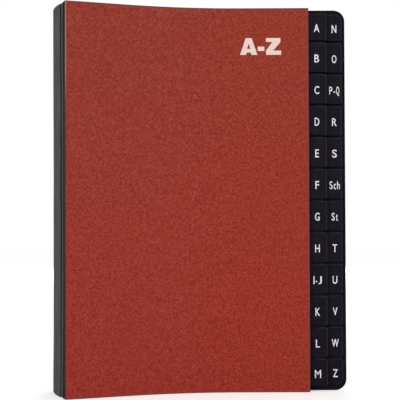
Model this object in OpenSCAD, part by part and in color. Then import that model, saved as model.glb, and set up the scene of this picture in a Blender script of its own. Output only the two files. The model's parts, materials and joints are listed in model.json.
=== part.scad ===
// Alphabetical desk sorter: a red board folder with a pleated linen spine and two columns of index tabs.
// It stands on the lower edges of its covers.
// X runs from the spine to the tabs, Y from front to back and Z up.

/* [Overall] */
// Height of the covers
cover_h = 340; // [290:1:410]
// Width from the last fold of the spine to the fore-edge of the back cover
overall_w = 261; // [220:1:315]
// Thickness over both covers, at the spine
spine_t = 54; // [45:0.5:65]

/* [Covers] */
// Board in the middle of a cover
board_t = 1.5; // [1:0.1:2.5]
// Grained covering paper, outside
paper_t = 0.3; // [0.2:0.05:0.5]
// Black lining paper, inside
lining_t = 0.3; // [0.2:0.05:0.5]
// How far the front cover stops short of the back cover, to show the tabs
front_setback = 33.4; // [26:0.2:40]
// Corner radius at the back cover's fore-edge
corner_r = 10; // [4:0.5:14]
// Joint between a lining and the hinge strip beside it
lining_joint = 0.5; // [0.2:0.1:1]

/* [Bend] */
// Straight stretch of the front cover beside the spine
cover_root = 60; // [45:1:72]
// Straight stretch of a divider beside the spine
leaf_root = 52; // [40:1:60]
// Length of the curve that follows, on every sheet
bend_len = 98; // [75:1:118]

/* [Dividers] */
// Card of a divider
card_t = 0.3; // [0.2:0.05:0.4]
// Clear gap between neighbouring dividers at the tabs
leaf_gap = 0.1; // [0.06:0.02:0.2]
// Clear gap between a cover and the divider next to it
cover_gap = 0.4; // [0.3:0.05:1]
// How far the dividers stop short of the covers at head and foot
leaf_inset = 4.4; // [3:0.1:6]
// How far a tab stands out of its divider
tab_len = 17; // [14:0.5:22]
// Step from the inner column of tabs to the outer one
tab_step = 14.1; // [11:0.1:17]
// Back cover that shows beside the outer column
tab_margin = 3; // [2:0.1:4]
// Gap between tabs of one column
tab_gap = 1.8; // [0.8:0.1:3]
// How far the rows of tabs stop short of the covers; the end tabs stop sooner, with their cards
row_inset = 1.1; // [0.5:0.1:3]
// Corner radius of a tab
tab_r = 1.5; // [0.5:0.1:3]

/* [Spine] */
// Linen of the spine
linen_t = 0.3; // [0.2:0.02:0.36]
// How far the linen stops short of the covers at head and foot
linen_inset = 0.5; // [0.3:0.1:2]
// First fold, measured back from the front of the spine
first_fold = 5.5; // [4.5:0.1:6.6]
// Second fold, measured the same way
second_fold = 10; // [8:0.1:11.5]
// Third fold, measured the same way; the rest are spaced evenly behind it
third_fold = 14; // [12.5:0.1:16.8]
// Last fold, in front of the back cover
last_fold = 1; // [0.8:0.1:2]
// How much further the last fold stands out than the first
fold_sweep = 14.1; // [11:0.1:17]
// Clear gap at a fold, between the strips that it joins
fold_gap = 0.1; // [0.06:0.02:0.2]
// Strip of linen on each side of a divider, from its fold to its glued end
strip_w = 30; // [25:0.5:36]
// Width of linen glued to a cover
hinge_flap = 25; // [18:0.5:32]
// Front cover's edge, in from the first fold
front_edge_in = 2.2; // [1.8:0.1:4]
// Bare board between the front cover's edge and the linen inside it
front_flap_in = 0.6; // [0.5:0.1:2]
// Back cover's edge, in from the last fold
back_edge_in = 3; // [2:0.1:5]

/* [Hidden] */
labels = ["a", "b", "c", "d", "e", "f", "g", "h", "i_j", "k", "l", "m",
          "n", "o", "p_q", "r", "s", "sch", "st", "t", "u", "v", "w", "z"];
leaf_count = len(labels);
tab_columns = 2;
tab_rows = leaf_count / tab_columns;
bend_steps = 16;
corner_steps = 6;
round_sides = 48;
// Linen left in the throat of a pleat, in front of the divider's edge
pleat_web = 0.6;

red = "#943a2f";
grey_board = "#b3a59a";
black = "#1d1a21";
linen_grey = "#4e5051";

cover_t = paper_t + board_t + lining_t;
leaf_pitch = card_t + leaf_gap;
stack_t = 2 * (cover_t + cover_gap) + leaf_count * leaf_pitch - leaf_gap;

// Outer faces, where the covers lie flat and parallel
y_front = spine_t / 2 - stack_t;
y_back = spine_t / 2;
y_back_inner = y_back - cover_t;

x_spine = -overall_w / 2;
x_fore = overall_w / 2;
x_front_fore = x_fore - front_setback;
x_tab = [x_fore - tab_margin - tab_step, x_fore - tab_margin];
x_back_edge = x_spine + back_edge_in;

leaf_h = cover_h - 2 * leaf_inset;
tab_pitch = (cover_h - 2 * row_inset) / tab_rows;
tab_h = tab_pitch - tab_gap;

// Folds of the spine, counted from 0 beside the front cover to leaf_count beside the back cover
front_folds = [first_fold, second_fold, third_fold];
fold_depth = spine_t - cover_t - last_fold;
fold_pitch = (fold_depth - third_fold) / (leaf_count + 1 - len(front_folds));
fold_curve = 1.6;

function fold_at(i) = i < len(front_folds)
    ? front_folds[i]
    : third_fold + (i + 1 - len(front_folds)) * fold_pitch;
// How far a fold at depth d lies in from the last one
function fold_out(d) = fold_sweep * pow(max(fold_depth - d, 0) / (fold_depth - first_fold), fold_curve);
function fold(i) = [x_spine + fold_out(fold_at(i)), fold_at(i) - spine_t / 2];

// A sheet runs straight from the spine, turns through an angle along the bend and then lies flat.
// Its rise at the spine gives that angle, by scaling a first guess until it fits.
function rise(a, root) = root * sin(a) + bend_len * (1 - cos(a)) / (a * PI / 180);
function bend_angle(h, root, a = 10, n = 14) =
    n == 0 ? a : bend_angle(h, root, a * h / rise(a, root), n - 1);
function bend_r(a) = bend_len / (a * PI / 180);

cover_a = bend_angle(spine_t - stack_t, cover_root);
x_bend = fold(0)[0] + front_edge_in + cover_root * cos(cover_a) + bend_r(cover_a) * sin(cover_a);

function leaf_y(i) = y_front + cover_t + cover_gap + (i - 1) * leaf_pitch;
function leaf_root_y(i) = (fold(i - 1)[1] + fold(i)[1] - card_t) / 2;
function leaf_a(i) = bend_angle(leaf_y(i) - leaf_root_y(i), leaf_root);
function leaf_column(i) = i <= tab_rows ? 0 : 1;
function leaf_row(i) = (i - 1) % tab_rows;

// Plane vectors
function unit(v) = v / norm(v);
function left(v) = [-v[1], v[0]];
function reverse(p) = [for (k = [len(p) - 1:-1:0]) p[k]];
// Corner q of the path p, q, r, moved sideways with it by t
function mitre(p, q, r, t) =
    let (m = left(unit(q - p)), n = left(unit(r - q))) q + t * (m + n) / (1 + m * n);
// Quarter circle about c, from angle a0
function quarter(c, r, a0) =
    [for (k = [0:corner_steps]) c + r * [cos(a0 + 90 * k / corner_steps), sin(a0 + 90 * k / corner_steps)]];

// Outline of a sheet's face, t behind its front face: from its edge at the spine to the end of the bend
function face(y, a, root, t) = let (r = bend_r(a)) concat(
    [[x_bend - (r + t) * sin(a) - root * cos(a), y - r + (r + t) * cos(a) - root * sin(a)]],
    [for (k = [0:bend_steps]) let (f = a * (1 - k / bend_steps))
        [x_bend - (r + t) * sin(f), y - r + (r + t) * cos(f)]]);

// Front cover's edge on the board's inner face, where the linen joins it
cover_joint = face(y_front, cover_a, cover_root, paper_t + board_t)[0];

// Section of a bent sheet between the depths t0 and t1, out to x_end
function sheet(y, a, root, t0, t1, x_end) = concat(
    face(y, a, root, t0), [[x_end, y + t0], [x_end, y + t1]], reverse(face(y, a, root, t1)));

// A strip's far side: its path moved sideways by t, to the left where t is positive
function beside(p, t) = let (n = len(p) - 1) [for (k = [0:n])
    k == 0 ? p[0] + t * left(unit(p[1] - p[0])) :
    k == n ? p[n] + t * left(unit(p[n] - p[n - 1])) :
    mitre(p[k - 1], p[k], p[k + 1], t)];
// Inner corner of a strip that runs straight from root and has its outer corner at tip
function inner_tip(root, tip, t) = tip - t * left(unit(tip - root));

module upright(z0, h) {
    translate([0, 0, z0])
        linear_extrude(h)
            children();
}

// A layer of the front cover, between two depths under its outer face
module front_layer(t0, t1, cut) {
    upright(0, cover_h)
        polygon(sheet(y_front, cover_a, cover_root - cut, t0, t1, x_front_fore));
}

module rounded_panel(w, h, r) {
    square([w - r, h]);
    translate([0, r])
        square([w, h - 2 * r]);
    for (z = [r, h - r])
        translate([w - r, z])
            circle(r, $fn = round_sides);
}

// A layer of the back cover, with its inner face at y
module back_layer(y, t, cut) {
    translate([x_back_edge + cut, y + t, 0])
        rotate([90, 0, 0])
            linear_extrude(t)
                rounded_panel(x_fore - x_back_edge - cut, cover_h, corner_r);
}

module front_cover_paper() {
    color(red)
        front_layer(0, paper_t, 0);
}

module front_cover_board() {
    color(grey_board)
        front_layer(paper_t, paper_t + board_t, 0);
}

module front_cover_lining() {
    color(black)
        front_layer(paper_t + board_t, cover_t, hinge_flap + lining_joint);
}

module back_cover_paper() {
    color(red)
        back_layer(y_back - paper_t, paper_t, 0);
}

module back_cover_board() {
    color(grey_board)
        back_layer(y_back - paper_t - board_t, board_t, 0);
}

module back_cover_lining() {
    color(black)
        back_layer(y_back_inner, lining_t, hinge_flap + lining_joint);
}

module linen_strip(path, t) {
    color(linen_grey)
        upright(linen_inset, cover_h - 2 * linen_inset)
            polygon(concat(beside(path, t), reverse(path)));
}

// Linen glued inside the front cover, up to the joint at its edge
module front_hinge_strip() {
    along = [cos(cover_a), sin(cover_a)];
    linen_strip([cover_joint + hinge_flap * along, cover_joint + front_flap_in * along], -linen_t);
}

// Linen from the last fold to inside the back cover
module back_hinge_strip() {
    root = [x_back_edge, y_back - paper_t - board_t];
    tip = fold(leaf_count) + [0, fold_gap / 2];
    linen_strip([root + [hinge_flap, 0], root, inner_tip(root, tip, linen_t)], linen_t);
}

// Tab of divider i, reaching back into the card so that they are one sheet
module tab(i) {
    x1 = x_tab[leaf_column(i)];
    x0 = x1 - 2 * tab_len;
    z_row = cover_h - row_inset - tab_gap / 2 - leaf_row(i) * tab_pitch;
    z1 = min(z_row, leaf_inset + leaf_h);
    z0 = max(z_row - tab_h, leaf_inset);
    // the outer column's end tabs follow the back cover's corners
    end_r = leaf_column(i) == 1 ? max(corner_r - tab_margin, tab_r) : tab_r;
    low_r = leaf_row(i) == tab_rows - 1 ? end_r : tab_r;
    high_r = leaf_row(i) == 0 ? end_r : tab_r;
    translate([0, leaf_y(i) + card_t, 0])
        rotate([90, 0, 0])
            linear_extrude(card_t)
                polygon(concat([[x0, z1], [x0, z0]], quarter([x1 - low_r, z0 + low_r], low_r, -90),
                               quarter([x1 - high_r, z1 - high_r], high_r, 0)));
}

module divider(i) {
    color(black)
        union() {
            upright(leaf_inset, leaf_h)
                polygon(sheet(leaf_y(i), leaf_a(i), leaf_root, 0, card_t, x_tab[leaf_column(i)] - tab_len));
            tab(i);
        }
}

// Folded strip that grips divider i and reaches to the folds on either side of it.
// The first one goes on over its front fold to the front cover's edge.
module pleat(i) {
    a = leaf_a(i);
    along = [cos(a), sin(a)];
    root_f = face(leaf_y(i), a, leaf_root, 0)[0];
    root_b = face(leaf_y(i), a, leaf_root, card_t)[0];
    tip_f = fold(i - 1) + [0, fold_gap / 2];
    tip_b = fold(i) - [0, fold_gap / 2];
    free_f = i == 1
        ? [fold(0), cover_joint + fold_gap * unit(fold(0) - cover_joint)]
        : [inner_tip(root_f, tip_f, linen_t)];
    free_b = [inner_tip(root_b, tip_b, -linen_t)];
    tail_f = root_f + (strip_w - norm(tip_f - root_f)) * along;
    tail_b = root_b + (strip_w - norm(tip_b - root_b)) * along;
    outer_f = beside(concat([tail_f, root_f], free_f), linen_t);
    outer_b = beside(concat([tail_b, root_b], free_b), -linen_t);
    root = (root_f + root_b) / 2;
    throat = root + pleat_web * unit((free_f[0] + free_b[0]) / 2 - root);
    grip = [tail_b, root_b, root_f, tail_f];
    color(linen_grey)
        upright(linen_inset, cover_h - 2 * linen_inset)
            polygon(concat(outer_f, reverse(free_f), [throat], free_b, reverse(outer_b), grip));
}

front_cover_paper();
front_cover_board();
front_cover_lining();
front_hinge_strip();
back_cover_paper();
back_cover_board();
back_cover_lining();
back_hinge_strip();
for (i = [1:leaf_count]) {
    divider(i);
    pleat(i);
}
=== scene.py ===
"""Looks of the alphabetical desk sorter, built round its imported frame. Lengths are in metres."""
import json
import math

import bmesh
import bpy
from mathutils import Matrix, Vector, noise


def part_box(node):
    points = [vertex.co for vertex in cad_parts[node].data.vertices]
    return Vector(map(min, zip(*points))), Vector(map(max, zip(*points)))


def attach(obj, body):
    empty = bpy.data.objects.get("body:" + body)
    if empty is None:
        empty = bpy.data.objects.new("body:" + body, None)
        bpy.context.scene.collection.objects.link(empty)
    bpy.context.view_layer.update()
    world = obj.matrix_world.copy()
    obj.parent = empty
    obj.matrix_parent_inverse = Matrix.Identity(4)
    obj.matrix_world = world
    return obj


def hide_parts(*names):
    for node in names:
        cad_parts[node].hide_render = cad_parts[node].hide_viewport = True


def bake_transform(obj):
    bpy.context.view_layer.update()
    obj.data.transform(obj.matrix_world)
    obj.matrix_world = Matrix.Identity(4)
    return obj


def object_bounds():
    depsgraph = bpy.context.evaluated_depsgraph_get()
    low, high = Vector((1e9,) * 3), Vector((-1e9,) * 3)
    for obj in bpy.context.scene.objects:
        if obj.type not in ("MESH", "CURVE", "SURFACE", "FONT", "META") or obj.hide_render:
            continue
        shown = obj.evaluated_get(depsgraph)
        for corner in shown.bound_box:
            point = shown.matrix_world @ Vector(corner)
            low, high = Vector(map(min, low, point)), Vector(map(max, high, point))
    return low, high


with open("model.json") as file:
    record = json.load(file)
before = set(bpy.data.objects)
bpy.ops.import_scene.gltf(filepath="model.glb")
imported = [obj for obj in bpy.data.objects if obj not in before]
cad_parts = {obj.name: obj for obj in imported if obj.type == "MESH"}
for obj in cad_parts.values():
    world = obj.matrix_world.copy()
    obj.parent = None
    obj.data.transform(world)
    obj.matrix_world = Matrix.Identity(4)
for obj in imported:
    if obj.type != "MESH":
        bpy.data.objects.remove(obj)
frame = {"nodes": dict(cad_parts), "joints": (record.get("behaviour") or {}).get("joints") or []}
nodes = frame["nodes"]
cad_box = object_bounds()

MM = 0.001
WELD = 0.001 * MM
EMPTY_AREA = 1e-12

# Index letters, from the front divider to the back one, in two columns
LABELS = ["A", "B", "C", "D", "E", "F", "G", "H", "I-J", "K", "L", "M",
          "N", "O", "P-Q", "R", "S", "Sch", "St", "T", "U", "V", "W", "Z"]
COLUMN = 12
TAB_LEN = 17 * MM

# Linen of the spine
LINEN_T = 0.3 * MM
LINEN_INSET = 0.5 * MM
GLUED = 20 * MM
COVER_FLAP = 25 * MM
RIDGE_R = 0.3 * MM
ROOT_R = 3 * MM
WEAVE_PITCH = 0.55 * MM

# Ridges of the linen: how far they wander, with how many waves in a metre, and bow at their ends
WANDER = 0.2 * MM
WAVES = 22
BOW = 0.45 * MM

# First ridge in X and Y from the front cover's corner, and the second one from its hinge
FIRST_FOLD = (-2.2 * MM, 5.5 * MM)
SECOND_FOLD = (0.42 * MM, 0)

# Rows of points up the linen, and the spacing of points across the first fold and the others
STATIONS = 29
FINE_STEP = 0.15 * MM
STEP = 1 * MM

# Covering paper, and the edges of the covers and cards
PAPER_T = 0.3 * MM
PRESSED_W = 1.4 * MM
PRESSED_D = 0.12 * MM
COVER_RIM = 0.06 * MM
CARD_RIM = 0.05 * MM

# Lower left corner of the cover's title
TITLE_X = 36.3 * MM
TITLE_Z = 298.45 * MM

# Tabs and lettering, with the letters' widths in mm
FILM_T = 0.03 * MM
FILM_W = 16.4 * MM
FILM_INSET = 0.2 * MM
# Width of the painted highlight along the edges of a tab's film
EDGE_HIGHLIGHT_W = 1.2 * MM
INK_T = 0.02 * MM
CAP_H = 7.2 * MM
LETTER_IN = (8.8 * MM, 6.9 * MM)
LETTER_DROP = 1.2 * MM
LETTER_W = {"A": 4.9, "E": 3.5, "F": 3.5, "I": 1.7, "J": 4.6, "L": 3.7, "M": 5.7, "W": 6.3, "-": 2.3,
            "c": 3.3, "h": 3.7, "t": 2.8}
USUAL_W = 4.3
SHARED = 0.68
LETTER_GAP = 0.85 * MM
BOLD = 0.16 * MM

# Outline points nearer than this are joined, in the font's own units
CLOSE = 0.006

# Width of the pale band on a ridge of the linen, painted as light on the ridge with painted shade beyond it,
# and how much narrower it is at the first two ridges
RIDGE_LIGHT_W = 0.97 * MM
RIDGE_SHADE_OFFSET = (5 * MM, -0.7 * MM)

# In from the edges: painted shade of the hinge beside the spine, and wear that dulls the paper all round and
# greys the cards at the fore-edge
HINGE_SHADE_W = 1.2 * MM
DULLED = 2.8 * MM
GREYED = 9 * MM

# By height: a painted highlight beside the spine so far down from the top, and a painted light gradient that
# turns the paper browner towards the top, from so far up from the bottom
HIGHLIGHT_DROP = 52 * MM
LIGHT_GRADIENT_RISE = 60 * MM

# Round lamps with their places and power, which point at the middle of the sorter
LAMPS = [("key", (-1.6, -2.6, 0.5), 27), ("fill", (1.7, -2.6, 0.5), 27), ("back", (0.35, 2.8, 0.7), 30)]
LAMP_SIZE = 1.0
AIM = Vector((0, 0, 0.17))

# Camera, turned by small angles in radians from a level look along Y
LENS = 100.65
CAMERA_AT = (0.005306, -0.977, 0.14905)
YAW, PITCH, ROLL = -0.00497, 0.02101, -0.00337


def named(kind, label):
    return kind + "_" + label.lower().replace("-", "_")


# Shaders


def add(tree, kind, inputs=None, **settings):
    """A shader node with its settings; an input is a value or another node's output."""
    made = tree.nodes.new("ShaderNode" + kind)
    for key, value in settings.items():
        setattr(made, key, value)
    for key, value in (inputs or {}).items():
        put(tree, made.inputs[key], value)
    return made


def put(tree, socket, value):
    if isinstance(value, bpy.types.NodeSocket):
        tree.links.new(value, socket)
    else:
        socket.default_value = value


def new_material(name, specular, roughness):
    material = bpy.data.materials.new(name)
    material.use_nodes = True
    tree = material.node_tree
    shader = tree.nodes["Principled BSDF"]
    shader.inputs["Specular IOR Level"].default_value = specular
    shader.inputs["Roughness"].default_value = roughness
    return material, tree, shader


def sums(tree, operation, a, b):
    return add(tree, "Math", {0: a, 1: b}, operation=operation).outputs[0]


def spread(tree, value, low, high, to_low=0.0, to_high=1.0):
    """A value taken from the range low to high to another range, with soft ends."""
    inputs = {"Value": value, "From Min": low, "From Max": high, "To Min": to_low, "To Max": to_high}
    return add(tree, "MapRange", inputs, interpolation_type="SMOOTHSTEP").outputs[0]


def mix(tree, factor, a, b, blend="MIX"):
    made = add(tree, "Mix", {0: factor}, data_type="RGBA", blend_type=blend)
    for socket, colour in ((made.inputs[6], a), (made.inputs[7], b)):
        put(tree, socket, colour if isinstance(colour, bpy.types.NodeSocket) else (*colour, 1))
    return made.outputs[2]


def cloudy(tree, at, scale, detail=2.0, rough=0.5):
    inputs = {"Vector": at, "Scale": scale, "Detail": detail, "Roughness": rough}
    return add(tree, "TexNoise", inputs).outputs["Fac"]


def bump(tree, shader, height, strength, distance):
    made = add(tree, "Bump", {"Height": height, "Strength": strength, "Distance": distance})
    tree.links.new(made.outputs[0], shader.inputs["Normal"])


def place(tree):
    return add(tree, "TexCoord").outputs["Object"]


def leather_grain(tree, at):
    """Pebbles between fine creases, and their height with a finer tooth on top."""
    drift = add(tree, "TexNoise", {"Vector": at, "Scale": 210.0}).outputs["Color"]
    push = add(tree, "VectorMath", {0: drift, "Scale": 0.0016}, operation="SCALE").outputs[0]
    bent = add(tree, "VectorMath", {0: at, 1: push}, operation="ADD").outputs[0]
    cells = add(tree, "TexVoronoi", {"Vector": bent, "Scale": 430.0}, feature="DISTANCE_TO_EDGE")
    pebble = spread(tree, cells.outputs["Distance"], 0.0, 0.27)
    wrinkle = spread(tree, cloudy(tree, bent, 440.0, 4.0, 0.62), 0.38, 0.64)
    tooth = cloudy(tree, at, 2200.0, 3.0)
    grain = sums(tree, "ADD", sums(tree, "MULTIPLY", pebble, 0.45), sums(tree, "MULTIPLY", wrinkle, 0.55))
    height = sums(tree, "ADD", grain, sums(tree, "MULTIPLY", tooth, 0.4))
    return grain, height


def edge_distance(tree, x, z, low, high):
    """Distance in X and Z to the nearest edge of a panel between two corners."""
    left, right = sums(tree, "SUBTRACT", x, low.x), sums(tree, "SUBTRACT", high.x, x)
    under, over = sums(tree, "SUBTRACT", z, low.z), sums(tree, "SUBTRACT", high.z, z)
    return sums(tree, "MINIMUM", sums(tree, "MINIMUM", left, right), sums(tree, "MINIMUM", under, over))


def grained_paper(name, node):
    """Red covering paper with a leather grain, dulled along its edges, with painted light: brighter red low
    down, browner towards the top, a painted highlight beside the spine near the top, and painted shade of the
    hinge beside the spine.
    """
    material, tree, shader = new_material(name, 0.1, 0.5)
    at = place(tree)
    x, _, z = add(tree, "SeparateXYZ", {0: at}).outputs
    low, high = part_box(node)
    grain, height = leather_grain(tree, at)
    cloud = cloudy(tree, at, 70.0, 4.0, 0.6)
    red = mix(tree, grain, (0.216, 0.0100, 0.0046), (0.334, 0.0486, 0.0314))
    red = mix(tree, spread(tree, cloud, 0.3, 0.7, 0.0, 0.25), red, (0.298, 0.0322, 0.0157))
    # Painted light by height: brighter red near the bottom, making up for the lamps falling off there, and
    # browner towards the top.
    painted_light_tint = mix(tree, spread(tree, z, low.z + LIGHT_GRADIENT_RISE, high.z), (1.065, 0.99, 0.99), (0.96, 1.13, 1.06))
    red = mix(tree, 1.0, red, painted_light_tint, "MULTIPLY")
    edge = spread(tree, edge_distance(tree, x, z, low, high), 0.0, DULLED, 1.0, 0.0)
    dulled = sums(tree, "MULTIPLY", edge, spread(tree, cloudy(tree, at, 330.0, 3.0), 0.3, 0.75, 0.65, 1.0))
    red = mix(tree, dulled, red, (0.165, 0.045, 0.042))
    from_spine = sums(tree, "SUBTRACT", x, low.x)
    # Painted highlight: a pale line beside the spine, full near the top and fading out further down.
    upper = spread(tree, z, high.z - 2 * HIGHLIGHT_DROP, high.z - HIGHLIGHT_DROP)
    spine_highlight = sums(tree, "MULTIPLY", upper, spread(tree, from_spine, 0.7 * HINGE_SHADE_W, 1.15 * HINGE_SHADE_W, 0.9, 0.0))
    red = mix(tree, spine_highlight, red, (0.33, 0.17, 0.145))
    # Painted shade: a dark line in the cover's hinge beside the spine, narrower near the top.
    reach = spread(tree, upper, 0.0, 1.0, HINGE_SHADE_W, 0.45 * HINGE_SHADE_W)
    hinge_shade = spread(tree, from_spine, 0.0, reach, 0.95, 0.0)
    put(tree, shader.inputs["Base Color"], mix(tree, hinge_shade, red, (0.038, 0.013, 0.011)))
    put(tree, shader.inputs["Roughness"], spread(tree, cloud, 0.2, 0.8, 0.44, 0.56))
    bump(tree, shader, height, 0.6, 0.15 * MM)
    return material


def cut_board():
    """Grey board, seen on its cut edges: layered fibres that run along the edge."""
    material, tree, shader = new_material("cut_grey_board", 0.2, 0.85)
    at = place(tree)
    drawn = add(tree, "Mapping", {"Vector": at, "Scale": (1, 1, 0.05)}).outputs[0]
    fibres = cloudy(tree, drawn, 2600.0, 4.0, 0.7)
    stain = spread(tree, cloudy(tree, at, 120.0, 3.0), 0.35, 0.8, 0.0, 0.5)
    grey = mix(tree, spread(tree, fibres, 0.3, 0.7), (0.045, 0.018, 0.015), (0.085, 0.040, 0.034))
    put(tree, shader.inputs["Base Color"], mix(tree, stain, grey, (0.06, 0.02, 0.016)))
    bump(tree, shader, fibres, 0.5, 0.1 * MM)
    return material


def black_stock(name, dark, light, roughness, tooth):
    """Black paper or card: a fine tooth, a little mottled, with a few paler fibres.

    It is greyer inside the front cover's fore-edge, where the sheets rub on each other.
    """
    material, tree, shader = new_material(name, 0.05, roughness)
    at = place(tree)
    mottle = cloudy(tree, at, 160.0, 4.0, 0.6)
    drawn = add(tree, "Mapping", {"Vector": at, "Rotation": (0.3, 0.5, 0.9), "Scale": (1, 0.12, 1)})
    fibre = spread(tree, cloudy(tree, drawn.outputs[0], 1900.0, 1.0), 0.68, 0.78, 0.0, 0.6)
    black = mix(tree, spread(tree, mottle, 0.3, 0.7), dark, light)
    grey = mix(tree, spread(tree, mottle, 0.25, 0.75), (0.0135, 0.0130, 0.0143), (0.0250, 0.0242, 0.0260))
    x = add(tree, "SeparateXYZ", {0: at}).outputs[0]
    fore_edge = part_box("front_cover_paper")[1].x
    black = mix(tree, spread(tree, x, fore_edge - GREYED, fore_edge, 1.0, 0.0), black, grey)
    put(tree, shader.inputs["Base Color"], mix(tree, fibre, black, (0.050, 0.048, 0.052)))
    put(tree, shader.inputs["Roughness"], spread(tree, mottle, 0.2, 0.8, roughness - 0.07, roughness + 0.07))
    bump(tree, shader, cloudy(tree, at, tooth, 3.0), 0.3, 0.05 * MM)
    return material


def tab_film():
    """Glossy film on a tab, paler along its edges as a painted highlight. Its map holds the distance to the
    edge.
    """
    material, tree, shader = new_material("tab_film", 0.06, 0.25)
    at = place(tree)
    inside = add(tree, "SeparateXYZ", {0: add(tree, "UVMap", uv_map="edge").outputs[0]}).outputs[0]
    smear = cloudy(tree, at, 210.0, 4.0, 0.6)
    scuff = cloudy(tree, at, 900.0)
    black = mix(tree, spread(tree, smear, 0.3, 0.7), (0.0066, 0.0047, 0.0095), (0.0091, 0.0067, 0.0128))
    # Painted highlight: paler film along the edges, where light catches them.
    edge = spread(tree, inside, 0.0, EDGE_HIGHLIGHT_W, 1.0, 0.0)
    edge_highlight = sums(tree, "MULTIPLY", edge, spread(tree, scuff, 0.25, 0.7, 0.45, 0.9))
    put(tree, shader.inputs["Base Color"], mix(tree, edge_highlight, black, (0.034, 0.029, 0.040)))
    put(tree, shader.inputs["Roughness"], spread(tree, smear, 0.25, 0.75, 0.18, 0.36))
    bump(tree, shader, scuff, 0.06, 0.05 * MM)
    return material


def ink(name, dark, light, on_grain):
    """Opaque printing ink, a little uneven; on the cover it follows the paper's grain."""
    material, tree, shader = new_material(name, 0.2, 0.45)
    at = place(tree)
    uneven = cloudy(tree, at, 700.0, 4.0, 0.65)
    put(tree, shader.inputs["Base Color"], mix(tree, spread(tree, uneven, 0.28, 0.62), dark, light))
    if on_grain:
        bump(tree, shader, leather_grain(tree, at)[1], 0.35, 0.12 * MM)
    else:
        bump(tree, shader, uneven, 0.2, 0.02 * MM)
    return material


def linen():
    """Plain-woven bookbinding linen. Its map runs along the strip and up the spine, in metres."""
    material, tree, shader = new_material("spine_linen", 0.12, 0.85)
    at = add(tree, "UVMap", uv_map="weave").outputs[0]
    scale = 2 * math.pi / (20 * WEAVE_PITCH)
    warp = add(tree, "TexWave", {"Vector": at, "Scale": scale}, bands_direction="X").outputs["Fac"]
    weft = add(tree, "TexWave", {"Vector": at, "Scale": scale}, bands_direction="Y").outputs["Fac"]
    over = add(tree, "TexChecker", {"Vector": at, "Scale": 1 / WEAVE_PITCH}).outputs["Fac"]
    height = add(tree, "Mix", {0: over, 2: warp, 3: weft}, data_type="FLOAT").outputs[0]
    slubs = []
    for along in ((1500, 30, 1), (30, 1500, 1)):
        drawn = add(tree, "Mapping", {"Vector": at, "Scale": along}).outputs[0]
        slubs.append(cloudy(tree, drawn, 1.0))
    uneven = sums(tree, "MULTIPLY", sums(tree, "ADD", *slubs), 0.5)
    # Painted light and shade: the linen is pale on each fold's ridge, where light catches it, and dark away
    # from it, as shade in the pleats.
    ridge = add(tree, "SeparateXYZ", {0: add(tree, "UVMap", uv_map="ridge").outputs[0]}).outputs[0]
    ridge_light = spread(tree, ridge, 0.65 * RIDGE_LIGHT_W, 1.15 * RIDGE_LIGHT_W, 1.0, 0.0)
    dark = mix(tree, spread(tree, uneven, 0.3, 0.7), (0.005, 0.006, 0.008), (0.010, 0.012, 0.014))
    pale = mix(tree, spread(tree, uneven, 0.3, 0.7), (0.077, 0.082, 0.084), (0.163, 0.170, 0.173))
    thread = mix(tree, ridge_light, dark, pale)
    cloth = mix(tree, spread(tree, height, 0.0, 0.6, 0.35, 1.0), (0.006, 0.007, 0.008), thread)
    put(tree, shader.inputs["Base Color"], cloth)
    bump(tree, shader, height, 0.6, 0.12 * MM)
    return material


FRONT_PAPER = grained_paper("red_paper_front", "front_cover_paper")
BACK_PAPER = grained_paper("red_paper_back", "back_cover_paper")
BOARD = cut_board()
LINING = black_stock("black_lining", (0.0034, 0.0030, 0.0038), (0.0054, 0.0048, 0.0060), 0.6, 2600.0)
CARD = black_stock("black_card", (0.0038, 0.0032, 0.0044), (0.0060, 0.0052, 0.0068), 0.5, 3200.0)
FILM = tab_film()
WHITE = ink("white_ink", (0.60, 0.58, 0.62), (0.80, 0.785, 0.82), False)
CREAM = ink("cream_ink", (0.70, 0.54, 0.465), (0.79, 0.615, 0.535), True)
LINEN = linen()


# Meshes


def new_piece(name, mesh, material):
    mesh.materials.clear()
    mesh.materials.append(material)
    piece = bpy.data.objects.new(name, mesh)
    bpy.context.scene.collection.objects.link(piece)
    return piece


def shade(mesh, sharp_from):
    mesh.shade_smooth()
    mesh.set_sharp_from_angle(angle=math.radians(sharp_from))


def mesh_of(bm, name):
    bmesh.ops.recalc_face_normals(bm, faces=bm.faces)
    mesh = bpy.data.meshes.new(name)
    bm.to_mesh(mesh)
    bm.free()
    return mesh


def copy_of(node):
    """A node's solid as clean faces: no triangles across a flat, and one point at each corner."""
    bm = bmesh.new()
    points = [bm.verts.new(v.co) for v in nodes[node].data.vertices]
    for face in nodes[node].data.polygons:
        bm.faces.new([points[k] for k in face.vertices])
    bmesh.ops.remove_doubles(bm, verts=bm.verts, dist=WELD)
    bmesh.ops.dissolve_limit(bm, angle_limit=math.radians(0.03), verts=bm.verts, edges=bm.edges)
    return bm


def round_rims(bm, radius):
    rims = [e for e in bm.edges if e.is_manifold and e.calc_face_angle() > math.radians(50)]
    bmesh.ops.bevel(bm, geom=rims, offset=radius, offset_type="OFFSET", segments=2, profile=0.5,
                    affect="EDGES", clamp_overlap=True)


def press_edges(bm, outward):
    """Lowers the rim of a cover's outer face, as a press leaves it."""
    outer = {f for f in bm.faces if f.normal.dot(outward) > 0.5}
    rim = {v for f in outer for v in f.verts if not outer.issuperset(v.link_faces)}
    up = {v: sum((f.normal for f in v.link_faces if f in outer), Vector()).normalized() for v in rim}
    bmesh.ops.inset_region(bm, faces=list(outer), thickness=PRESSED_W, use_even_offset=True,
                           use_boundary=True)
    for v, way in up.items():
        v.co -= way * PRESSED_D


def stand_for(node, name, bm, material, body):
    mesh = mesh_of(bm, name)
    shade(mesh, 3)
    piece = new_piece(name, mesh, material)
    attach(piece, body)
    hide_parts(node)


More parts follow.
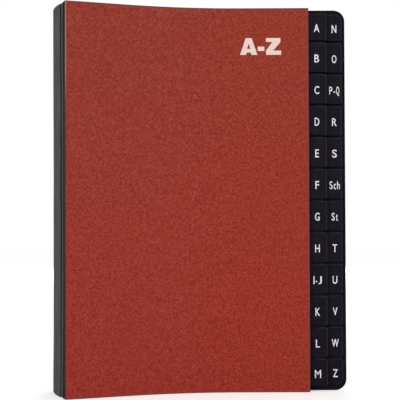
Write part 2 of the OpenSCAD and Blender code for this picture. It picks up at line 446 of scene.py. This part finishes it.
def flat_solid(curve):
    """Mesh of a flat curve, given a thickness of 1 round its own plane."""
    curve.extrude = 0.5
    holder = bpy.data.objects.new(curve.name, curve)
    bpy.context.scene.collection.objects.link(holder)
    bpy.context.view_layer.update()
    drawn = holder.evaluated_get(bpy.context.evaluated_depsgraph_get())
    mesh = bpy.data.meshes.new_from_object(drawn)
    bpy.data.objects.remove(holder)
    bpy.data.curves.remove(curve)
    return mesh


def stand_on_face(mesh, x, y, z, across, up):
    """Stands a flat solid up on a face that looks along -Y, as thick as ink.

    A triangle without area is joined to the face beyond its longest edge.
    """
    mesh.transform(Matrix(((across, 0, 0, x), (0, 0, -INK_T, y), (0, up, 0, z), (0, 0, 0, 1))))
    bm = bmesh.new()
    bm.from_mesh(mesh)
    bmesh.ops.remove_doubles(bm, verts=bm.verts, dist=WELD)
    empty = [f for f in bm.faces if f.calc_area() < EMPTY_AREA]
    longest = [max(f.edges, key=lambda e: e.calc_length()) for f in empty]
    bmesh.ops.dissolve_edges(bm, edges=list(dict.fromkeys(longest)))
    return mesh_of(bm, mesh.name)


# Covers and their title


def make_covers():
    for body, material, outward in (("front_cover", FRONT_PAPER, -1), ("back_cover", BACK_PAPER, 1)):
        bm = copy_of(body + "_paper")
        press_edges(bm, Vector((0, outward, 0)))
        round_rims(bm, COVER_RIM)
        stand_for(body + "_paper", body + "_skin", bm, material, body)
    stand_for("front_cover_lining", "front_cover_inside", copy_of("front_cover_lining"), LINING,
              "front_cover")
    for node, material in (("front_cover_board", BOARD), ("back_cover_board", BOARD),
                           ("back_cover_lining", LINING)):
        nodes[node].data.materials.clear()
        nodes[node].data.materials.append(material)


def title_strokes():
    """Outlines of the letters A and Z and the dash between them, in mm from the title's lower left."""
    high, wide, top, foot = 14.95, 15.5, 5.2, 5.35
    lean = (wide - top) / 2 / high
    bar_low, bar_high, peak, counter = 2.2, 5.4, 10.1, 2.9
    middle = wide / 2
    inner = foot + lean * bar_low
    a = [(0, 0), (foot, 0), (inner, bar_low), (wide - inner, bar_low), (wide - foot, 0), (wide, 0),
         (middle + top / 2, high), (middle - top / 2, high)]
    hole = [(middle - counter / 2, bar_high), (middle, peak), (middle + counter / 2, bar_high)]
    dash = [(15.8, 3.5), (21.7, 3.5), (21.7, 7.35), (15.8, 7.35)]
    z = [(23.1 + x, y) for x, y in ((0, 0), (13.4, 0), (13.4, 3.8), (6.4, 3.8), (12.85, 11.4), (12.85, high),
                                    (0, high), (0, 11.4), (5.65, 11.4), (0, 3.75))]
    return a, hole, dash, z


def make_title():
    curve = bpy.data.curves.new("title", "CURVE")
    curve.dimensions = "2D"
    curve.fill_mode = "BOTH"
    for stroke in title_strokes():
        spline = curve.splines.new("POLY")
        spline.points.add(len(stroke) - 1)
        for point, (x, y) in zip(spline.points, stroke):
            point.co = (x, y, 0, 1)
        spline.use_cyclic_u = True
    face = max(v.co.y for v in nodes["front_cover_paper"].data.vertices) - PAPER_T
    mesh = stand_on_face(flat_solid(curve), TITLE_X, face - INK_T / 4, TITLE_Z, MM, MM)
    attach(new_piece("cover_title", mesh, CREAM), "front_cover")


# Dividers


def tab_of(label):
    """Right-hand outline of a divider's tab in X and Z, from below to above, and its faces in Y."""
    points = [v.co for v in nodes[named("divider", label)].data.vertices]
    end = max(p.x for p in points)
    tab = [p for p in points if p.x > end - 0.9 * TAB_LEN]
    outline = sorted({(round(p.x, 6), round(p.z, 6)) for p in tab}, key=lambda p: p[1])
    return outline, min(p.y for p in tab), max(p.y for p in tab)


def film_outline(outline):
    """The tab's outline drawn in all round, as far as the film reaches."""
    end = max(x for x, _ in outline)
    middle = (outline[0][1] + outline[-1][1]) / 2
    share = 1 - 2 * FILM_INSET / (outline[-1][1] - outline[0][1])
    right = [(end - FILM_INSET - (end - x) * share, middle + (z - middle) * share) for x, z in outline]
    return [(end - FILM_W, right[0][1])] + right + [(end - FILM_W, right[-1][1])]


def film_side(bm, outline, y, outward, edge_map):
    """One face of film, with a ring along its edge that the painted edge highlight follows."""
    base, top = ([bm.verts.new((x, depth, z)) for x, z in outline] for depth in (y, y + outward * FILM_T))
    face = bm.faces.new(top)
    face.normal_update()
    bm.faces.new(base)
    for k in range(len(outline)):
        bm.faces.new((top[k - 1], top[k], base[k], base[k - 1]))
    bmesh.ops.inset_individual(bm, faces=[face], thickness=EDGE_HIGHLIGHT_W, use_even_offset=True)
    # The painted highlight is left off the film's left and lower edges.
    left, low = outline[0]
    no_highlight = list(face.verts) + [v for v in top if v.co.x < left + FILM_T or v.co.z < low + FILM_T]
    for vert in no_highlight:
        for loop in vert.link_loops:
            loop[edge_map].uv = (EDGE_HIGHLIGHT_W, 0)


def make_film(label, outline, faces):
    bm = bmesh.new()
    edge_map = bm.loops.layers.uv.new("edge")
    edge = film_outline(outline)
    for y, outward in zip(faces, (-1, 1)):
        film_side(bm, edge, y, outward, edge_map)
    mesh = mesh_of(bm, named("film", label))
    piece = new_piece(named("film", label), mesh, FILM)
    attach(piece, named("leaf", label))


def join_close_points(curve):
    """Joins the outline's points that lie nearly on each other, because a bolder weight turns them over."""
    for spline in list(curve.splines):
        runs = []
        for p in spline.bezier_points:
            left = (p.handle_left.copy(), p.handle_left_type)
            right = (p.handle_right.copy(), p.handle_right_type)
            point = (p.co.copy(), left, right)
            if runs and (point[0] - runs[-1][-1][0]).length < CLOSE:
                runs[-1].append(point)
            else:
                runs.append([point])
        if (runs[0][0][0] - runs[-1][-1][0]).length < CLOSE:
            runs[0] = runs.pop() + runs[0]
        curve.splines.remove(spline)
        joined = curve.splines.new("BEZIER")
        joined.use_cyclic_u = True
        joined.bezier_points.add(len(runs) - 1)
        for p, run in zip(joined.bezier_points, runs):
            p.co = run[0][0]
            p.handle_left, p.handle_left_type = run[0][1]
            p.handle_right, p.handle_right_type = run[-1][2]


def letter_curve(letter):
    """A letter as a curve object, and its box as it is drawn."""
    text = bpy.data.curves.new("letter", "FONT")
    text.body = letter
    holder = bpy.data.objects.new("letter", text)
    bpy.context.scene.collection.objects.link(holder)
    bpy.ops.object.select_all(action="DESELECT")
    holder.select_set(True)
    bpy.context.view_layer.objects.active = holder
    bpy.ops.object.convert(target="CURVE")
    join_close_points(bpy.context.object.data)
    corners = [Vector(c) for c in bpy.context.object.bound_box]
    return bpy.context.object, [f(c[k] for c in corners) for f in (min, max) for k in (0, 1)]


def letter_mesh(letter, left, wide, capital):
    """A condensed letter of a given width with its feet on Y 0.

    capital is the height of a capital as it is drawn, before it is scaled.
    """
    holder, (x0, y0, x1, y1) = letter_curve(letter)
    whole = letter.isupper() and letter != "Q"
    foot, high = (y0, y1 - y0) if whole else (0, capital)
    sx, sy = (wide - 2 * BOLD) / (x1 - x0), (CAP_H - 2 * BOLD) / high
    curve = holder.data
    curve.transform(Matrix(((sx, 0, 0, left + BOLD - x0 * sx), (0, sy, 0, BOLD - foot * sy), (0, 0, 1, 0),
                            (0, 0, 0, 1))))
    bpy.data.objects.remove(holder)
    curve.offset = BOLD
    curve.resolution_u = 5
    return flat_solid(curve)


def make_letters(label, column, outline, face, capital):
    """A label printed on the front of a tab."""
    share = SHARED if len(label) > 1 else 1
    pen, bm = 0.0, bmesh.new()
    for letter in label:
        wide = LETTER_W.get(letter, USUAL_W) * share * MM
        bm.from_mesh(letter_mesh(letter, pen, wide, capital))
        pen += wide + LETTER_GAP
    mesh = mesh_of(bm, named("letters", label))
    x = max(x for x, _ in outline) - LETTER_IN[column] - (pen - LETTER_GAP) / 2
    z = (outline[0][1] + outline[-1][1]) / 2 - LETTER_DROP - CAP_H / 2
    mesh = stand_on_face(mesh, x, face - FILM_T - INK_T / 4, z, 1, 1)
    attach(new_piece(named("letters", label), mesh, WHITE), named("leaf", label))


def make_dividers():
    sample, (_, _, _, capital) = letter_curve("H")
    bpy.data.objects.remove(sample)
    for k, label in enumerate(LABELS):
        node = named("divider", label)
        bm = copy_of(node)
        round_rims(bm, CARD_RIM)
        stand_for(node, named("card", label), bm, CARD, named("leaf", label))
        outline, front, back = tab_of(label)
        make_film(label, outline, (front, back))
        make_letters(label, k // COLUMN, outline, front, capital)


# Pleated linen


def spine_edge(node):
    """Front and back corner of a sheet's edge at the spine, in X and Y, and the sheet's direction there."""
    corners = {(round(v.co.x, 6), round(v.co.y, 6)) for v in nodes[node].data.vertices}
    back = min(corners)
    front = min((c for c in corners if math.dist(c, back) > 0.1 * MM), key=lambda c: math.dist(c, back))
    front, back = Vector(front), Vector(back)
    through = (back - front).normalized()
    return front, back, Vector((through.y, -through.x))


def touch(point, centre, radius, side):
    """Angle round a circle where a line from the point touches it."""
    away = point - centre
    return math.atan2(away.y, away.x) + side * math.acos(radius / away.length)


def ridge_arc(near, ridge, far, steps=8):
    """Points round the outside of a fold, from the leg that comes from near to the leg to far."""
    inward = ((near + far) / 2 - ridge).normalized()
    centre = ridge + inward * (RIDGE_R + LINEN_T / 2)
    first = touch(near, centre, RIDGE_R, -1)
    last = touch(far, centre, RIDGE_R, 1) - 2 * math.pi
    turns = [first + (last - first) * k / steps for k in range(steps + 1)]
    return [centre + RIDGE_R * Vector((math.cos(a), math.sin(a))) for a in turns]


def round_corner(before, corner, after, steps=4):
    """Points of an arc of ROOT_R, or as much as fits, in place of a corner."""
    a, b = (before - corner), (after - corner)
    turn = math.pi - a.angle(b)
    if turn < math.radians(0.5):
        return [corner]
    cut = min(ROOT_R * math.tan(turn / 2), 0.4 * a.length, 0.4 * b.length)
    start, end = corner + a.normalized() * cut, corner + b.normalized() * cut
    return [start.lerp(corner, s).lerp(corner.lerp(end, s), s) for s in (k / steps for k in range(steps + 1))]


def divided(points, step):
    path = [points[0]]
    for a, b in zip(points, points[1:]):
        count = max(1, math.ceil((b - a).length / step))
        path += [a.lerp(b, k / count) for k in range(1, count + 1)]
    return path


def lengths(path):
    run = [0.0]
    for a, b in zip(path, path[1:]):
        run.append(run[-1] + (b - a).length)
    return run


def linen_path(near_tail, near, ridge, far, far_tail, step):
    """Middle line of one fold of linen, how freely each point wanders and how far it is from the ridge."""
    arc = ridge_arc(near, ridge, far)
    legs = [near_tail] + round_corner(near_tail, near, arc[0]) + arc + round_corner(arc[-1], far, far_tail)
    path = divided(legs + [far_tail], step)
    reach = min((near - ridge).length, (far - ridge).length)
    free = [max(0.0, 1 - (p - ridge).length / reach) for p in path]
    return path, free, [(p - ridge).length for p in path]


def sides(path):
    """Points on both sides of a middle line, half the linen's thickness away."""
    left, right = [], []
    for k, p in enumerate(path):
        along = (path[min(k + 1, len(path) - 1)] - path[max(k - 1, 0)]).normalized()
        over = Vector((-along.y, along.x)) * LINEN_T / 2
        left.append(p + over)
        right.append(p - over)
    return left, right


def linen_mesh(name, path, free, from_ridge, seed):
    """A closed strip of linen along a path, up the whole spine, with a ridge that is not quite straight."""
    low, high = cad_box[0].z + LINEN_INSET, cad_box[1].z - LINEN_INSET
    run = lengths(path)
    bm = bmesh.new()
    weave, ridge = bm.loops.layers.uv.new("weave"), bm.loops.layers.uv.new("ridge")
    at, deep, rings = {}, {}, []
    for s in range(STATIONS):
        up = s / (STATIONS - 1)
        z = low + (high - low) * up
        sway = Vector((noise.noise((seed, z * WAVES, 0.3)), noise.noise((seed, z * WAVES, 7.7)))) * WANDER
        sway.x -= BOW * (2 * up - 1) ** 2
        ring = []
        for side in sides([p + sway * f for p, f in zip(path, free)]):
            row = [bm.verts.new((p.x, p.y, z)) for p in side]
            at.update({v: (u, z) for v, u in zip(row, run)})
            deep.update({v: (d, 0) for v, d in zip(row, from_ridge)})
            ring.append(row)
        rings.append(ring)
    last = len(path) - 1
    for (left_a, right_a), (left_b, right_b) in zip(rings, rings[1:]):
        for k in range(last):
            bm.faces.new((left_a[k], left_a[k + 1], left_b[k + 1], left_b[k]))
            bm.faces.new((right_a[k + 1], right_a[k], right_b[k], right_b[k + 1]))
        for k in (0, last):
            bm.faces.new((left_a[k], left_b[k], right_b[k], right_a[k]))
    for left, right in (rings[0], rings[-1]):
        for k in range(last):
            bm.faces.new((left[k], right[k], right[k + 1], left[k + 1]))
    for face in bm.faces:
        for loop in face.loops:
            loop[weave].uv = at[loop.vert]
            loop[ridge].uv = deep[loop.vert]
    mesh = mesh_of(bm, name)
    shade(mesh, 50)
    return mesh, (run[-1], high - low)


def make_fold(name, near, ridge, far, stands, seed, step=STEP, shade_offset=0.0):
    """One fold of linen between two sheets. near and far are (root, tail) on the sheets' faces."""
    path, free, from_ridge = linen_path(near[1], near[0], ridge, far[0], far[1], step)
    mesh, flat = linen_mesh(name, path, free, [d + shade_offset for d in from_ridge], seed)
    piece = new_piece(name, mesh, LINEN)
    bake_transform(piece)
    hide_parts(*stands)


def on_back(front, back, along, glued=GLUED):
    """Root and tail of linen glued to a sheet's back."""
    root = back + (back - front).normalized() * LINEN_T / 2
    return root, root + along * glued


def on_front(front, back, along, glued=GLUED):
    """Root and tail of linen glued to a sheet's front."""
    root = front - (back - front).normalized() * LINEN_T / 2
    return root, root + along * glued


def make_linen():
    ridges = {j["child"]: Vector(j["pos_m"][:2]) for j in frame["joints"]}
    edges = {label: spine_edge(named("divider", label)) for label in LABELS}
    cover = spine_edge("front_cover_board")
    paper = spine_edge("front_cover_paper")
    ridge = paper[0] + Vector(FIRST_FOLD)
    # The first ridge gets no painted light, so its whole fold is painted shade; the second gets a wider
    # painted lit band.
    make_fold("linen_cover_a", on_back(*cover, COVER_FLAP), ridge, on_front(*edges["A"]),
              ["front_hinge_strip"], 0.0, FINE_STEP, RIDGE_SHADE_OFFSET[0])
    ridges["leaf_a"] += Vector(SECOND_FOLD)
    for k, (label, other) in enumerate(zip(LABELS, LABELS[1:] + ["cover"])):
        front, back, along = edges[label]
        if other == "cover":
            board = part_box("back_cover_board")[0]
            next_front = Vector((board.x, board.y))
            far = on_front(next_front, next_front + Vector((0, MM)), Vector((1, 0)), COVER_FLAP)
            body, stands, rest = "back_cover", ["pleat_z", "back_hinge_strip"], "back_cover_board"
        else:
            next_front, far = edges[other][0], on_front(*edges[other])
            body, stands, rest = named("leaf", other), [named("pleat", label)], named("card", other)
        make_fold(named(named("linen", label), other), on_back(front, back, along),
                  ridges[named("leaf", label)], far, stands,
                  k + 1.0, shade_offset=0.0 if k else RIDGE_SHADE_OFFSET[1])


# Floor, light and camera


def make_world(ambient=0.6):
    world = bpy.data.worlds.new("studio")
    bpy.context.scene.world = world
    world.use_nodes = True
    tree = world.node_tree
    light = add(tree, "LightPath").outputs
    seen = sums(tree, "MAXIMUM", light["Is Camera Ray"], light["Is Glossy Ray"])
    seen = sums(tree, "MAXIMUM", seen, light["Is Transmission Ray"])
    back = tree.nodes["Background"]
    back.inputs["Color"].default_value = (1, 1, 1, 1)
    put(tree, back.inputs["Strength"], spread(tree, seen, 0.0, 1.0, ambient, 1.0))


def make_floor():
    """A pale floor, lifted to the white of the background where no shadow falls."""
    bpy.ops.mesh.primitive_plane_add(size=12)
    floor = bpy.context.object
    floor.name = "floor"
    material, tree, shader = new_material("pale_floor", 0, 1)
    shader.inputs["Base Color"].default_value = (0.8, 0.8, 0.8, 1)
    shader.inputs["Emission Color"].default_value = (1, 1, 1, 1)
    camera = add(tree, "LightPath").outputs["Is Camera Ray"]
    put(tree, shader.inputs["Emission Strength"], sums(tree, "MULTIPLY", camera, 0.5))
    floor.data.materials.append(material)


def make_light(name, at, power):
    data = bpy.data.lights.new(name, "AREA")
    data.shape = "DISK"
    data.size = LAMP_SIZE
    data.energy = power
    light = bpy.data.objects.new(name, data)
    light.location = at
    light.rotation_euler = (AIM - Vector(at)).to_track_quat("-Z", "Y").to_euler()
    bpy.context.scene.collection.objects.link(light)


def make_camera():
    data = bpy.data.cameras.new("camera")
    data.sensor_width = 36
    data.lens = LENS
    data.clip_start, data.clip_end = 0.01, 50
    camera = bpy.data.objects.new("camera", data)
    camera.matrix_world = (Matrix.Translation(CAMERA_AT) @ Matrix.Rotation(-YAW, 4, "Z")
                           @ Matrix.Rotation(math.pi / 2 + PITCH, 4, "X") @ Matrix.Rotation(ROLL, 4, "Z"))
    bpy.context.scene.collection.objects.link(camera)
    bpy.context.scene.camera = camera


make_covers()
make_title()
make_dividers()
make_linen()
make_world()
make_floor()
for lamp in LAMPS:
    make_light(*lamp)
make_camera()
bpy.context.scene.view_settings.view_transform = "Standard"
